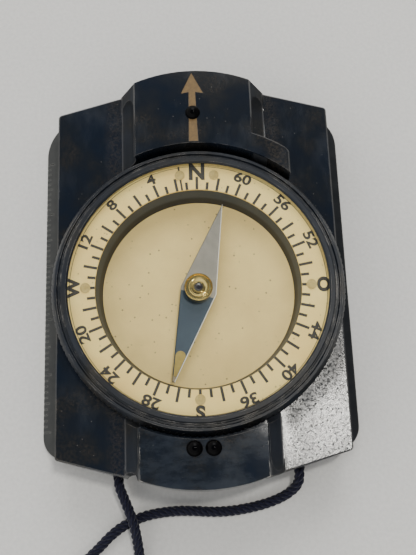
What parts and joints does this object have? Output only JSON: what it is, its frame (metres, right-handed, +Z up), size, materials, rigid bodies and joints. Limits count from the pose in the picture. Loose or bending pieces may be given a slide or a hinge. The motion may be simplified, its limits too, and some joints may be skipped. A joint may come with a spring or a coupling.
{
  "type": "marching compass",
  "caption": "Marching compass on a flat ruler plate, with bead sights, turning dial ring, pivoted needle and neck lanyard.",
  "frame": {"origin": "on the underside of the base plate, straight below the needle's pivot", "axes": "+Z up through the pivot and the dial ring's axis; +Y in the sighting direction, from the rear beads to the front bead and along the painted arrow; +X to the right of that"},
  "size_m": [0.0638, 0.117, 0.016],
  "materials": {
    "body_plastic": "black phenolic moulding, semi-gloss, worn and dusty at the edges",
    "ring_plastic": "black phenolic turning, semi-gloss, worn to grey on its ridges",
    "plate_metal": "black stoved enamel on metal, ruler bevel worn to grey",
    "arrow_paint": "ochre inlay paint, matt",
    "bead_glass": "polished black bead",
    "capsule_enamel": "dark grey enamel, satin",
    "dial_card": "printed card, matt, aged beige with fine specks",
    "scale_card": "printed card, matt, aged cream",
    "lume_paint": "aged luminous paste, matt, brownish yellow",
    "needle_steel": "thin steel, bright north half, blued south half",
    "needle_brass": "turned brass, polished",
    "jewel_stone": "polished dark jewel",
    "crystal_glass": "clear flat glass",
    "gasket_rubber": "black rubber, matt",
    "spring_steel": "drawn steel wire",
    "screw_steel": "turned steel, slightly oxidised",
    "lanyard_cord": "dark navy twisted cotton cord"
  },
  "bodies": {
    "body": {"housing": "body_plastic", "base_plate": "plate_metal", "base_screws": "screw_steel", "direction_arrow": "arrow_paint", "front_sight_bead": "bead_glass", "rear_sight_bead_left": "bead_glass", "rear_sight_bead_right": "bead_glass", "ring_spring": "spring_steel", "capsule_bowl": "capsule_enamel", "capsule_screws": "screw_steel", "dial_plate": "dial_card", "pivot_base": "needle_brass", "pivot_pin": "screw_steel", "lanyard_inner_run": "lanyard_cord", "lanyard_left_run": "lanyard_cord", "lanyard_coil": "lanyard_cord", "lanyard_right_run": "lanyard_cord"},
    "dial": {"dial_ring": "ring_plastic", "scale_ring": "scale_card", "scale_lume_dots": "lume_paint", "crystal_gasket": "gasket_rubber", "crystal": "crystal_glass", "crystal_retainer": "ring_plastic"},
    "needle": {"needle_blade": "needle_steel", "needle_hub": "needle_brass", "needle_jewel": "jewel_stone", "needle_lume": "lume_paint"}
  },
  "joints": [
    {"name": "dial_turn", "type": "hinge", "parent": "body", "child": "dial", "pos_m": [0, 0, 0.0125], "axis": [0, 0, 1], "continuous": true},
    {"name": "needle_spin", "type": "hinge", "parent": "body", "child": "needle", "pos_m": [0, 0, 0.0105], "axis": [0, 0, 1], "continuous": true}
  ]
}
